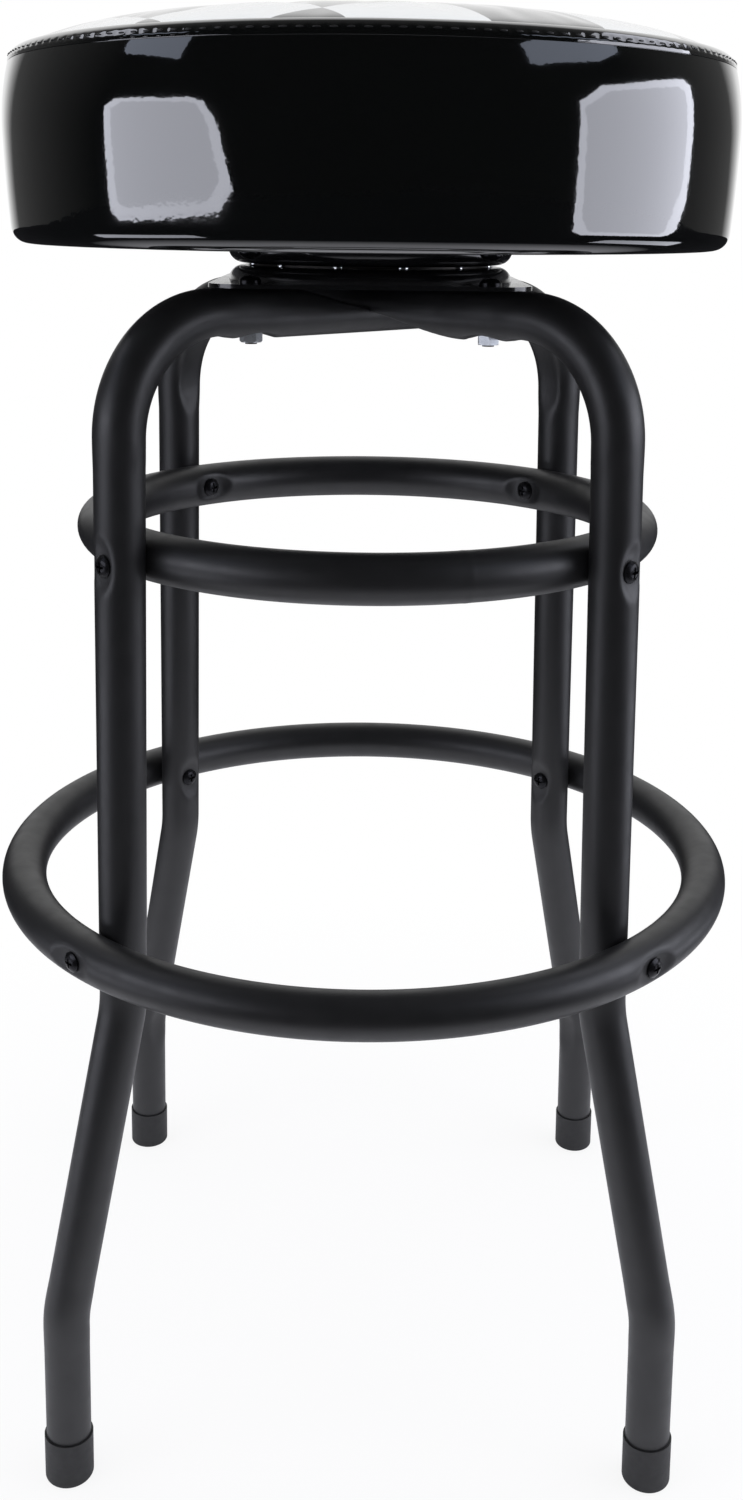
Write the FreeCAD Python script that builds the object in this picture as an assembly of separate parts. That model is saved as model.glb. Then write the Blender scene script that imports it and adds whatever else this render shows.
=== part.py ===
import FreeCAD, Part
import math
import os

# Round padded swivel stool: two crossed tubular leg hoops, two round tube rings,
# a ball-bearing swivel and a vinyl-covered round seat.
# Millimetres. +Z is up, the floor is Z = 0, the swivel axis is the Z axis.
# The legs stand on the diagonals, and the front of the stool faces -Y.

# Tubes of the frame
tube_d = 25.0
tube_wall = 1.5
tube_r = tube_d / 2

# Leg hoops, as heights above the floor and radii from the swivel axis
hoop_top_z = 647.0
crown_z = hoop_top_z - tube_r
leg_radius_at_crown = 164.8
leg_splay = 2.6
knee_z = 282.0
shin_splay = 15.5
ankle_z = 109.0
shoulder_bend_r = 57.0
knee_bend_r = 70.0
shoulder_crush = 2.6
knee_crush = 1.8

# Half-lap where the two hoops cross
lap_flat = 34.0
lap_length = 116.0

# Round rings, one inside the legs and one outside them
upper_ring_z = 520.3
foot_ring_z = 318.7
saddle_depth = 2.8

# Binding screws and sleeve nuts that hold the rings to the legs
binder_head_r = 5.5
binder_head_h = 2.6
binder_seat_depth = 3.0
binder_dent_r = 31.0
binder_seat_clearance = 0.6
screw_d = 6.0
screw_reach = 30.0
sleeve_d = 8.0
sleeve_length = 26.0
thread_clearance = 0.05
hole_clearance = 0.15
recess_width = 1.3
recess_span = 5.6
recess_depth = 1.7

# Push-on foot caps
cap_wall = 1.1
cap_height = 29.0
cap_sole = 4.0
cap_edge_r = 2.0

# Ball-bearing swivel
plate_t = 2.0
plate_side = 160.0
plate_corner_r = 18.0
dome_base_r = 77.0
dome_lip_r = 66.0
swivel_height = 19.0
ball_d = 6.0
ball_count = 12
ball_circle_r = 62.0
plate_gap = 1.6
race_clearance = 0.3
cage_t = 1.0
cage_inner_r = 52.0
cage_outer_r = 63.5
pocket_clearance = 0.3
rivet_d = 10.0
rivet_head_r = 10.0
rivet_head_h = 3.0
rivet_clearance = 0.06
rivet_play = 0.3

# Bolts that clamp the lower plate to the hoops, and screws into the seat board
bolt_square = 119.0
bolt_d = 6.0
bolt_head_r = 5.5
bolt_head_h = 3.2
bolt_tip = 0.8
nut_across_flats = 10.0
nut_h = 5.0
nut_chamfer = 0.7
nut_seat_depth = 3.5
wood_screw_d = 5.0
wood_screw_reach = 10.0

# Seat, measured up from the upper plate and in from the widest radius
seat_r = 186.2
seat_height = 105.5
bulge_height = 52.0
crown_rise = 16.2
crown_flat_r = 115.0
crown_sag = 3.0
seam_inset = 10.7
seam_sink = 0.6
shoulder_inset = 4.9
shoulder_drop = 4.8
corner_swell = 0.9
base_inset = 1.2
base_corner_r = 8.0
skin_t = 1.2
turned_in = 30.0
board_t = 12.0
board_play = 0.8
hem_drop = 6.6
hem_t = 0.5


def vec(x, y, z):
    return FreeCAD.Vector(x, y, z)


ORIGIN = vec(0, 0, 0)
UP = vec(0, 0, 1)
LEG_ANGLES = [45 + 90 * k for k in range(4)]


def turned(shape, angle):
    """A copy turned about the swivel axis, in degrees."""
    copy = shape.copy()
    copy.rotate(ORIGIN, UP, angle)
    return copy


def around(shape, angles):
    return [turned(shape, angle) for angle in angles]


def rod(radius, start, end):
    """A solid cylinder from one point to another."""
    axis = end - start
    return Part.makeCylinder(radius, axis.Length, start, axis)


def revolved(edges):
    """A solid turned from a closed outline in the XZ plane."""
    face = Part.Face(Part.Wire(edges))
    return face.revolve(ORIGIN, UP, 360)


def lines(points):
    """Straight edges through (x, z) points of the XZ plane."""
    places = [vec(x, 0, z) for x, z in points]
    return [Part.makeLine(a, b) for a, b in zip(places, places[1:])]


def arc(start, middle, end):
    places = [vec(x, 0, z) for x, z in (start, middle, end)]
    return Part.Arc(*places).toShape()


def tangent_arc(start, along, end):
    """An arc of the XZ plane that leaves its start along a direction."""
    places = [vec(x, 0, z) for x, z in (start, end)]
    across = vec(-along[1], 0, along[0])
    chord = places[1] - places[0]
    centre = places[0] + across * (chord.dot(chord) / (2 * chord.dot(across)))
    spoke = ((places[0] + places[1]) * 0.5 - centre).normalize()
    middle = centre + spoke * (places[0] - centre).Length
    return Part.Arc(places[0], middle, places[1]).toShape()


# Leg hoop line, worked out in the XZ plane

def leg_radius(z):
    """Distance of the straight upper leg's middle line from the swivel axis."""
    return leg_radius_at_crown + math.tan(math.radians(leg_splay)) * (crown_z - z)


knee_r = leg_radius(knee_z)
ankle_r = knee_r + math.tan(math.radians(shin_splay)) * (knee_z - ankle_z)
foot_r = ankle_r + math.tan(math.radians(leg_splay)) * ankle_z
foot_axis = vec(math.sin(math.radians(-leg_splay)), 0, math.cos(math.radians(leg_splay)))
foot_point = vec(foot_r, 0, 0)
leg_corners = [
    vec(leg_radius_at_crown, 0, crown_z),
    vec(knee_r, 0, knee_z),
    vec(ankle_r, 0, ankle_z),
]
leg_bends = [
    (shoulder_bend_r, shoulder_crush),
    (knee_bend_r, knee_crush),
    (knee_bend_r, knee_crush),
]


def rounded_corner(before, corner, after, radius):
    """Where a bend starts and ends, its middle point and its centre."""
    to_before = (before - corner).normalize()
    to_after = (after - corner).normalize()
    half_angle = to_before.getAngle(to_after) / 2
    reach = radius / math.tan(half_angle)
    inward = (to_before + to_after).normalize()
    centre = corner + inward * (radius / math.sin(half_angle))
    middle = centre - inward * radius
    return corner + to_before * reach, middle, corner + to_after * reach, centre


def hoop_path():
    """The middle line of a whole hoop, foot to foot, and its bend centres."""
    foot_end = foot_point + foot_axis * cap_sole
    right = [foot_end] + leg_corners[::-1]
    left = [vec(-p.x, 0, p.z) for p in right[::-1]]
    stops = right + left
    radii = [radius for radius, _ in leg_bends]
    radii = radii[::-1] + radii
    edges = []
    centres = []
    last = stops[0]
    for before, corner, after, radius in zip(stops, stops[1:], stops[2:], radii):
        start, middle, end, centre = rounded_corner(before, corner, after, radius)
        edges.append(Part.makeLine(last, start))
        edges.append(Part.Arc(start, middle, end).toShape())
        centres.append(centre)
        last = end
    edges.append(Part.makeLine(last, stops[-1]))
    return Part.Wire(edges), centres


def swept(path, radius):
    """A round rod along the path."""
    start = path.OrderedVertexes[0].Point
    along = path.OrderedEdges[0].tangentAt(path.OrderedEdges[0].FirstParameter)
    ring = Part.Wire(Part.makeCircle(radius, start, along))
    return path.makePipe(Part.Face(ring))


# Pressing tools. Each one is made twice: as it meets the outside of the tube, and
# grown by the wall, as it meets the bore, so the pressed wall keeps its thickness.

def crush_tool(centre, radius, crush, grow):
    """The former that flattens the inner side of a bend."""
    tool_r = radius - tube_r + crush + grow
    half = vec(0, 2 * tube_r, 0)
    return rod(tool_r, centre - half, centre + half)


def lap_tool(from_above, grow):
    """The ram that halves a tube's height where the hoops cross."""
    side = 1 if from_above else -1
    flat = lap_flat / 2
    end = lap_length / 2
    outline = [
        (-end - grow, tube_r),
        (-flat - grow, -grow),
        (flat + grow, -grow),
        (end + grow, tube_r),
        (end + grow, 2 * tube_r),
        (-end - grow, 2 * tube_r),
        (-end - grow, tube_r),
    ]
    edges = lines([(x, crown_z + side * z) for x, z in outline])
    face = Part.Face(Part.Wire(edges))
    face.translate(vec(0, -2 * tube_r, 0))
    return face.extrude(vec(0, 4 * tube_r, 0))


def dent_tool(surface, outward, depth, seat_r, grow):
    """A dished dent with a flat round seat, pressed into a tube along a line."""
    centre = surface + outward * (binder_dent_r - depth)
    dish = Part.makeSphere(binder_dent_r + grow, centre)
    floor = surface - outward * (depth + grow)
    return dish.fuse(rod(seat_r + grow, floor, centre))


def saddle_tool(ring_r, ring_z, grow):
    """The ring itself, pressed into the side of a leg."""
    return Part.makeTorus(ring_r, tube_r + grow, vec(0, 0, ring_z))


# Ring joints. Each joint is worked out on the +X side and turned to the diagonals.

grip = 2 * tube_d - saddle_depth - 2 * binder_seat_depth
upper_ring_r = leg_radius(upper_ring_z) - tube_d + saddle_depth
foot_ring_r = leg_radius(foot_ring_z) + tube_d - saddle_depth
ring_joints = {
    "upper_ring": (upper_ring_r, upper_ring_z, upper_ring_r - tube_r),
    "foot_ring": (foot_ring_r, foot_ring_z, leg_radius(foot_ring_z) - tube_r),
}
binder_seat_r = binder_head_r + binder_seat_clearance
OUT = vec(1, 0, 0)


def joint_dents(name, grow):
    """The dents under the sleeve nut's head and the screw's head."""
    _, z, inner_face = ring_joints[name]
    inner = vec(inner_face, 0, z)
    outer = vec(inner_face + 2 * tube_d - saddle_depth, 0, z)
    return [
        dent_tool(inner, -OUT, binder_seat_depth, binder_seat_r, grow),
        dent_tool(outer, OUT, binder_seat_depth, binder_seat_r, grow),
    ]


def joint_drill(name):
    """The stepped hole through both tubes of a ring joint."""
    _, z, inner_face = ring_joints[name]
    seat = vec(inner_face + binder_seat_depth, 0, z)
    step = seat + OUT * (sleeve_length + 1)
    wide = rod(sleeve_d / 2 + hole_clearance, seat - OUT * 5, step)
    narrow = rod(screw_d / 2 + hole_clearance, step, seat + OUT * (grip + 5))
    return wide.fuse(narrow)


def dome_head(seat, outward, radius, height):
    """A low domed screw head with a cross recess, standing on its seat."""
    rim = height * 0.35
    edges = lines([(0, 0), (radius, 0), (radius, rim)])
    edges.append(arc((radius, rim), (radius * 0.72, height * 0.82), (0, height)))
    edges += lines([(0, height), (0, 0)])
    head = revolved(edges)
    for angle in (0, 90):
        slot = Part.makeBox(recess_span, recess_width, height)
        slot.translate(vec(-recess_span / 2, -recess_width / 2, height - recess_depth))
        slot.rotate(ORIGIN, UP, angle)
        head = head.cut(slot)
    head.Placement = FreeCAD.Placement(seat, FreeCAD.Rotation(UP, outward))
    return head


def binding_screw(name):
    _, z, inner_face = ring_joints[name]
    seat = vec(inner_face + binder_seat_depth + grip, 0, z)
    head = dome_head(seat, OUT, binder_head_r, binder_head_h)
    shank = rod(screw_d / 2, seat - OUT * screw_reach, seat + OUT * 0.5)
    return head.fuse(shank)


def sleeve_nut(name):
    _, z, inner_face = ring_joints[name]
    seat = vec(inner_face + binder_seat_depth, 0, z)
    head = dome_head(seat, -OUT, binder_head_r, binder_head_h)
    sleeve = rod(sleeve_d / 2, seat - OUT * 0.5, seat + OUT * sleeve_length)
    bore_start = seat + OUT * 2
    bore = rod(screw_d / 2 + thread_clearance, bore_start, seat + OUT * (sleeve_length + 1))
    return head.fuse(sleeve).cut(bore)


# Leg hoops

bolt_r = bolt_square / 2 * math.sqrt(2)


def hoop(over):
    """One pressed and drilled hoop in the XZ plane."""
    path, centres = hoop_path()
    radii = leg_bends[::-1] + leg_bends
    shell = swept(path, tube_r)
    bore = swept(path, tube_r - tube_wall)
    for grow, half in ((0, "shell"), (tube_wall, "bore")):
        tools = [crush_tool(c, r, crush, grow) for c, (r, crush) in zip(centres, radii)]
        tools.append(lap_tool(not over, grow))
        tools += [saddle_tool(r, z, grow) for r, z, _ in ring_joints.values()]
        one_side = [
            joint_dents("upper_ring", grow)[1],
            joint_dents("foot_ring", grow)[0],
            dent_tool(vec(bolt_r, 0, crown_z - tube_r), -UP, nut_seat_depth,
                      nut_across_flats / math.sqrt(3) + binder_seat_clearance, grow),
        ]
        for tool in one_side:
            tools += around(tool, (0, 180))
        if half == "shell":
            shell = shell.cut(tools)
        else:
            bore = bore.cut(tools)
    body = shell.cut(bore)
    ends = [foot_point + foot_axis * t for t in (-20, cap_sole)]
    trims = around(rod(tube_d, *ends), (0, 180))
    drills = [joint_drill(name) for name in ring_joints]
    drills.append(rod(bolt_d / 2 + hole_clearance, vec(bolt_r, 0, crown_z - tube_d),
                      vec(bolt_r, 0, crown_z + tube_d)))
    holes = [hole for drill in drills for hole in around(drill, (0, 180))]
    return body.cut(trims + holes)


# Rings

def ring(name, dent_index):
    """A round ring with the dents and holes of its four joints."""
    ring_r, ring_z, _ = ring_joints[name]
    place = vec(0, 0, ring_z)
    outside = Part.makeTorus(ring_r, tube_r, place)
    inside = Part.makeTorus(ring_r, tube_r - tube_wall, place)
    outside = outside.cut(around(joint_dents(name, 0)[dent_index], LEG_ANGLES))
    inside = inside.cut(around(joint_dents(name, tube_wall)[dent_index], LEG_ANGLES))
    drills = around(joint_drill(name), LEG_ANGLES)
    return outside.cut(inside).cut(drills)


# Foot caps

def foot_cap():
    """A push-on cap on the +X leg, cut flat where it stands on the floor."""
    outer_r = tube_r + cap_wall
    top = foot_point + foot_axis * cap_height
    below = foot_point - foot_axis * 5
    body = rod(outer_r, below, top)
    socket = rod(tube_r, foot_point + foot_axis * cap_sole, top + foot_axis)
    under = Part.makeBox(4 * outer_r, 4 * outer_r, 10)
    under.translate(vec(foot_r - 2 * outer_r, -2 * outer_r, -10))
    body = body.cut(under)
    rims = [e for e in body.Edges if e.BoundBox.ZMax < 0.01]
    return body.makeFillet(cap_edge_r, rims).cut(socket)


# Swivel

lower_plate_z = hoop_top_z
upper_plate_z = hoop_top_z + swivel_height
land_gap_z = hoop_top_z + swivel_height / 2
race_r = ball_d / 2 + race_clearance


def square_flange(bottom_z):
    side = plate_side / 2
    sheet = Part.makeBox(plate_side, plate_side, plate_t, vec(-side, -side, bottom_z))
    corners = [e for e in sheet.Edges if abs(e.tangentAt(e.FirstParameter).z) > 0.9]
    sheet = sheet.makeFillet(plate_corner_r, corners)
    return sheet.cut(Part.makeCylinder(dome_base_r, 4 * plate_t, vec(0, 0, bottom_z - plate_t)))


def plate_section(base, land, side):
    """Half section of a pressed dome with its ball race, from flange to hub.

    base and land are the heights of the outer faces of the flange and of the dome,
    and side is 1 where the dome rises and -1 where it hangs.
    """
    hub = rivet_d / 2
    slack = plate_gap / 2
    half_race = math.sqrt(race_r ** 2 - slack ** 2)
    back_r = race_r + plate_t
    back_slack = slack + plate_t
    half_back = math.sqrt(back_r ** 2 - back_slack ** 2)
    back = land - side * plate_t
    middle_z = land + side * slack
    shoulder = dome_lip_r + 3.0
    flank = base + (land - base) * 0.55
    edges = lines([(hub, land), (ball_circle_r - half_race, land)])
    edges.append(arc((ball_circle_r - half_race, land),
                     (ball_circle_r, middle_z - side * race_r),
                     (ball_circle_r + half_race, land)))
    edges += lines([(ball_circle_r + half_race, land), (dome_lip_r, land)])
    edges.append(arc((dome_lip_r, land), (shoulder + 2.4, (land + flank) / 2 + side * 0.5),
                     (dome_base_r - 2, base)))
    edges += lines([
        (dome_base_r - 2, base),
        (dome_base_r, base),
        (dome_base_r, base - side * plate_t),
        (dome_base_r - 3.5, base - side * plate_t),
        (ball_circle_r + half_back + 1.5, back - side * 0.4),
        (ball_circle_r + half_back, back),
    ])
    edges.append(arc((ball_circle_r + half_back, back),
                     (ball_circle_r, middle_z - side * back_r),
                     (ball_circle_r - half_back, back)))
    edges += lines([(ball_circle_r - half_back, back), (hub, back), (hub, land)])
    return edges


def swivel_plate(flange_z, base, land, side, hub_clearance, hole_r):
    dome = revolved(plate_section(base, land, side))
    plate = square_flange(flange_z).fuse(dome)
    spot = bolt_square / 2
    holes = [Part.makeCylinder(hole_r, 3 * plate_t, vec(x, y, flange_z - plate_t))
             for x in (-spot, spot) for y in (-spot, spot)]
    if hub_clearance:
        holes.append(Part.makeCylinder(rivet_d / 2 + hub_clearance, swivel_height,
                                       vec(0, 0, lower_plate_z)))
    return plate.cut(holes).removeSplitter()


def centre_rivet():
    """Holds the two plates together, with a little play above the upper one."""
    lower_seat = land_gap_z - plate_gap / 2 - plate_t
    upper_seat = land_gap_z + plate_gap / 2 + plate_t + rivet_play
    shank = rod(rivet_d / 2, vec(0, 0, lower_seat - 1), vec(0, 0, upper_seat + 1))
    flat = Part.makeCylinder(rivet_head_r, rivet_head_h, vec(0, 0, upper_seat))
    upset = Part.makeCylinder(rivet_head_r, rivet_head_h, vec(0, 0, lower_seat - rivet_head_h))
    heads = []
    for head in (flat, upset):
        far = max if head is flat else min
        level = far(v.Point.z for v in head.Vertexes)
        rim = [e for e in head.Edges
               if abs(e.BoundBox.ZMin - level) < 0.01 and abs(e.BoundBox.ZMax - level) < 0.01]
        heads.append(head.makeFillet(1.0, rim))
    return shank.fuse(heads)


def bearing_balls():
    first = Part.makeSphere(ball_d / 2, vec(ball_circle_r, 0, land_gap_z))
    pitch = 360 / ball_count
    return around(first, [pitch * (k + 0.5) for k in range(ball_count)])


def ball_cage():
    low = vec(0, 0, land_gap_z - cage_t / 2)
    sheet = Part.makeCylinder(cage_outer_r, cage_t, low)
    sheet = sheet.cut(Part.makeCylinder(cage_inner_r, cage_t, low))
    pocket = Part.makeCylinder(ball_d / 2 + pocket_clearance, cage_t,
                               low + vec(ball_circle_r, 0, 0))
    pitch = 360 / ball_count
    return sheet.cut(around(pocket, [pitch * (k + 0.5) for k in range(ball_count)]))


# Bolts, nuts and screws of the swivel

def square_pattern(shape):
    """Copies of a fastener on the square of bolt holes, made at the +X+Y one."""
    return around(shape, [90 * k for k in range(4)])


bolt_spot = vec(bolt_square / 2, bolt_square / 2, 0)
nut_seat_z = crown_z - tube_r + nut_seat_depth


def plate_bolt():
    seat = bolt_spot + UP * (lower_plate_z + plate_t)
    head = dome_head(seat, UP, bolt_head_r, bolt_head_h)
    tip = bolt_spot + UP * (nut_seat_z - nut_h - bolt_tip)
    return head.fuse(rod(bolt_d / 2, tip, seat + UP * 0.5))


def hex_nut():
    """A plain hexagon nut, chamfered on both faces, under a hoop."""
    top = bolt_spot + UP * nut_seat_z
    corner_r = nut_across_flats / math.sqrt(3)
    points = [vec(corner_r * math.cos(math.radians(60 * k)),
                  corner_r * math.sin(math.radians(60 * k)), 0) for k in range(7)]
    hexagon = Part.Face(Part.makePolygon(points)).extrude(UP * nut_h)
    blank = Part.makeCylinder(corner_r, nut_h)
    blank = blank.makeChamfer(nut_chamfer, [e for e in blank.Edges if len(e.Vertexes) == 1])
    nut = hexagon.common(blank)
    nut.translate(top - UP * nut_h)
    return nut.cut(rod(bolt_d / 2 + thread_clearance, top - UP * 12, top + UP * 2))


def seat_screw():
    seat = bolt_spot + UP * (upper_plate_z - plate_t)
    head = dome_head(seat, -UP, bolt_head_r, bolt_head_h)
    return head.fuse(rod(wood_screw_d / 2, seat - UP * 0.5, seat + UP * (plate_t + wood_screw_reach)))


# Seat

seat_top_z = upper_plate_z + seat_height
bulge_z = upper_plate_z + bulge_height
seam_z = seat_top_z - crown_rise
seam_r = seat_r - seam_inset
shoulder_z = seam_z - shoulder_drop
shoulder_r = seat_r - shoulder_inset
base_r = seat_r - base_inset
board_r = base_r - skin_t - base_corner_r - board_play
dust_cover_r = base_r - turned_in


def seat_form(inset):
    """The padded seat's outside, or its lining at some depth below the skin."""
    floor_z = upper_plate_z + inset
    side_r = base_r - inset
    crown = (0, seat_top_z - inset)
    rim = (crown_flat_r, crown[1] - crown_sag)
    lean = 2 * math.atan2(crown_sag, crown_flat_r)
    seam = (seam_r - inset, seam_z - inset * seam_sink)
    shoulder = (shoulder_r - inset, shoulder_z)
    corner = ((seam[0] + shoulder[0]) / 2 + corner_swell,
              (seam[1] + shoulder[1] + corner_swell) / 2)
    bulge = (seat_r - inset, bulge_z)
    low = (side_r, floor_z + base_corner_r)
    slant = base_corner_r * (1 - math.sqrt(0.5))
    turn = (side_r - slant, floor_z + slant)
    under = (side_r - base_corner_r, floor_z)
    edges = [
        tangent_arc(crown, (1, 0), rim),
        tangent_arc(rim, (math.cos(lean), -math.sin(lean)), seam),
        arc(seam, corner, shoulder),
        tangent_arc(bulge, (0, 1), shoulder),
        tangent_arc(bulge, (0, -1), low),
        arc(low, turn, under),
    ]
    return revolved(edges + lines([under, (0, floor_z), crown]))


def seam_hem():
    """The turned-down seam allowance, stitched over the top of the side band."""
    zone = Part.makeCylinder(seat_r, hem_drop, vec(0, 0, seam_z - hem_drop))
    top = Part.makeCylinder(seam_r, hem_drop, vec(0, 0, seam_z - hem_drop))
    raised = seat_form(-hem_t).cut(seat_form(skin_t / 2))
    return raised.common(zone).cut(top)


def seat_pieces():
    """The soft and hard pieces of the seat, each cut to fit its neighbours."""
    lining = seat_form(skin_t)
    skin = seat_form(0).cut(lining)
    top_zone = Part.makeCylinder(seam_r, seat_height, vec(0, 0, shoulder_z))
    window = Part.makeCylinder(dust_cover_r, 3 * skin_t, vec(0, 0, upper_plate_z - skin_t))
    board = Part.makeCylinder(board_r, board_t, vec(0, 0, upper_plate_z + skin_t))
    screws = square_pattern(seat_screw())
    pilot = rod(wood_screw_d / 2, bolt_spot + UP * upper_plate_z,
                bolt_spot + UP * (upper_plate_z + plate_t + wood_screw_reach))
    pilots = square_pattern(pilot)
    dust_cover = Part.makeCylinder(dust_cover_r, skin_t, vec(0, 0, upper_plate_z))
    return {
        "top_cover": skin.common(top_zone),
        "side_band": skin.cut([top_zone, window]).fuse(seam_hem()).removeSplitter(),
        "foam_cushion": lining.cut(board),
        "seat_board": board.cut(pilots),
        "dust_cover": dust_cover.cut(pilots),
        "seat_screws": Part.makeCompound(screws),
    }


# The whole stool

CAP_NAMES = ["back_right", "back_left", "front_left", "front_right"]


def build():
    pieces = {
        "leg_hoop_under": turned(hoop(over=False), 45),
        "leg_hoop_over": turned(hoop(over=True), -45),
        "upper_ring": ring("upper_ring", 0),
        "foot_ring": ring("foot_ring", 1),
    }
    for name in ring_joints:
        screws = around(binding_screw(name), LEG_ANGLES)
        sleeves = around(sleeve_nut(name), LEG_ANGLES)
        pieces[name + "_screws"] = Part.makeCompound(screws)
        pieces[name + "_sleeve_nuts"] = Part.makeCompound(sleeves)
    for cap_name, angle in zip(CAP_NAMES, LEG_ANGLES):
        pieces["foot_cap_" + cap_name] = turned(foot_cap(), angle)
    low_land = land_gap_z - plate_gap / 2
    high_land = land_gap_z + plate_gap / 2
    pieces["swivel_lower_plate"] = swivel_plate(
        lower_plate_z, lower_plate_z + plate_t, low_land, 1, 0, bolt_d / 2 + hole_clearance)
    pieces["swivel_upper_plate"] = swivel_plate(
        upper_plate_z - plate_t, upper_plate_z - plate_t, high_land, -1, rivet_clearance,
        wood_screw_d / 2 + hole_clearance)
    pieces["swivel_rivet"] = centre_rivet()
    pieces["swivel_bolts"] = Part.makeCompound(square_pattern(plate_bolt()))
    pieces["swivel_nuts"] = Part.makeCompound(square_pattern(hex_nut()))
    pieces["bearing_balls"] = Part.makeCompound(bearing_balls())
    pieces["ball_cage"] = ball_cage()
    pieces.update(seat_pieces())
    return pieces


os.makedirs("parts", exist_ok=True)
for name, shape in build().items():
    shape.exportStep("parts/" + name + ".step")
    print(name, "solids", len(shape.Solids), "volume", round(shape.Volume), "valid", shape.isValid())
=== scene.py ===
import math
import random

import bmesh
import bpy
from mathutils import Matrix, Vector


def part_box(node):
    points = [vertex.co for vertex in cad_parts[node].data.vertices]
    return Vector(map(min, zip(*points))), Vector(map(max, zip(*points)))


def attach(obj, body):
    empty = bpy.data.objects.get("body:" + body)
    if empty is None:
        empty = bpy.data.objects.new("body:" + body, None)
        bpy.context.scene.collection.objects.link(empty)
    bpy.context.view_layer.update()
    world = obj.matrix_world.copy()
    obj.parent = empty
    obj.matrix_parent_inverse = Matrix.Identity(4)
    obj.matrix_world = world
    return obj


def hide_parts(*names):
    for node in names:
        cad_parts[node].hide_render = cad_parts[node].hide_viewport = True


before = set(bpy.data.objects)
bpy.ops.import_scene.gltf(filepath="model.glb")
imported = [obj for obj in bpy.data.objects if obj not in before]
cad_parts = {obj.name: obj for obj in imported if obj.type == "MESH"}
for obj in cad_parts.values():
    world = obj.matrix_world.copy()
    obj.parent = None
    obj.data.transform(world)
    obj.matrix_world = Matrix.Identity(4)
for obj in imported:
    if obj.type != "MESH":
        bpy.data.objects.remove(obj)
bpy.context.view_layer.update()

MM = 0.001
random.seed(7)


# Small helpers

def smooth_step(x, low, high):
    """0 below low, 1 above high, and an even S between them."""
    t = min(max((x - low) / (high - low), 0), 1)
    return t * t * (3 - 2 * t)


def soft_min(value, limit, soft):
    """The smaller of two lengths, with the corner where they meet rounded."""
    near = max(soft - abs(value - limit), 0) / soft
    return min(value, limit) - near * near * soft / 4


def arc_points(start, middle, end, steps):
    """Points on the round arc through three (radius, height) points, without the last."""
    a, b, c = (Vector(p) for p in (start, middle, end))
    turn = 2 * (a.x * (b.y - c.y) + b.x * (c.y - a.y) + c.x * (a.y - b.y))
    squares = [p.length_squared for p in (a, b, c)]
    heights = (b.y - c.y, c.y - a.y, a.y - b.y)
    widths = (c.x - b.x, a.x - c.x, b.x - a.x)
    centre = Vector((
        sum(s * h for s, h in zip(squares, heights)) / turn,
        sum(s * w for s, w in zip(squares, widths)) / turn,
    ))
    sweep = (a - centre).angle_signed(c - centre)
    spokes = [Matrix.Rotation(-sweep * k / steps, 2) @ (a - centre) for k in range(steps)]
    return [centre + spoke for spoke in spokes]


def tangent_points(start, along, end, steps):
    """Points on the round arc that leaves its start along a direction."""
    a, b = Vector(start), Vector(end)
    across = Vector((-along[1], along[0]))
    chord = b - a
    centre = a + across * (chord.length_squared / (2 * chord.dot(across)))
    middle = centre + ((a + b) / 2 - centre).normalized() * (a - centre).length
    return arc_points(a, middle, b, steps)


def line_points(start, end, steps):
    """Evenly spaced points on a straight line, without the last."""
    a, b = Vector(start), Vector(end)
    return [a.lerp(b, k / steps) for k in range(steps)]


def spun(section, turns, closed):
    """A form turned round the swivel axis from (radius, height) points."""
    bm = bmesh.new()
    verts = [bm.verts.new((r, 0, z)) for r, z in section]
    ends = verts[1:] + verts[:1] if closed else verts[1:]
    edges = [bm.edges.new(pair) for pair in zip(verts, ends)]
    bmesh.ops.spin(bm, geom=verts + edges, axis=(0, 0, 1), cent=(0, 0, 0),
                   steps=turns, angle=2 * math.pi, use_merge=True)
    bmesh.ops.remove_doubles(bm, verts=bm.verts, dist=0.01 * MM)
    bmesh.ops.recalc_face_normals(bm, faces=bm.faces)
    return bm


def finish_piece(bm, name, body, material, replaced=()):
    """Makes a piece of the stool from a bmesh, and says what it rides on and stands for."""
    for face in bm.faces:
        face.smooth = True
    mesh = bpy.data.meshes.new(name)
    bm.to_mesh(mesh)
    bm.free()
    piece = bpy.data.objects.new(name, mesh)
    bpy.context.scene.collection.objects.link(piece)
    mesh.materials.append(material)
    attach(piece, body)
    if replaced:
        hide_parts(*replaced)
    return piece


def add_modifier(piece, kind, **settings):
    modifier = piece.modifiers.new(kind.lower(), kind)
    for name, value in settings.items():
        setattr(modifier, name, value)


# Camera, as the photograph was taken: just under seat height, looking down a little

PHOTO_HEIGHT_PX = 1500
CAMERA_FOCAL_PX = 1504
CAMERA_DISTANCE = 0.8391
CAMERA_HEIGHT = 0.6823
CAMERA_PITCH = math.radians(19.66)
CAMERA_HEADING = -0.0043
CAMERA_ROLL = 0.0118
SENSOR = 36.0


def add_camera():
    data = bpy.data.cameras.new("photo_camera")
    data.sensor_fit = "VERTICAL"
    data.sensor_height = SENSOR
    data.lens = CAMERA_FOCAL_PX / PHOTO_HEIGHT_PX * SENSOR
    data.clip_start = 0.02
    camera = bpy.data.objects.new("photo_camera", data)
    bpy.context.scene.collection.objects.link(camera)
    camera.matrix_world = (
        Matrix.Translation((0, -CAMERA_DISTANCE, CAMERA_HEIGHT))
        @ Matrix.Rotation(CAMERA_HEADING, 4, "Z")
        @ Matrix.Rotation(math.pi / 2 - CAMERA_PITCH, 4, "X")
        @ Matrix.Rotation(CAMERA_ROLL, 4, "Z")
    )
    bpy.context.scene.camera = camera


# Materials

def linear(code, alpha=1.0):
    """An sRGB hex colour as linear red, green, blue and alpha."""
    parts = [int(code[k:k + 2], 16) / 255 for k in (1, 3, 5)]
    curve = [p / 12.92 if p <= 0.04045 else ((p + 0.055) / 1.055) ** 2.4 for p in parts]
    return (*curve, alpha)


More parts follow.
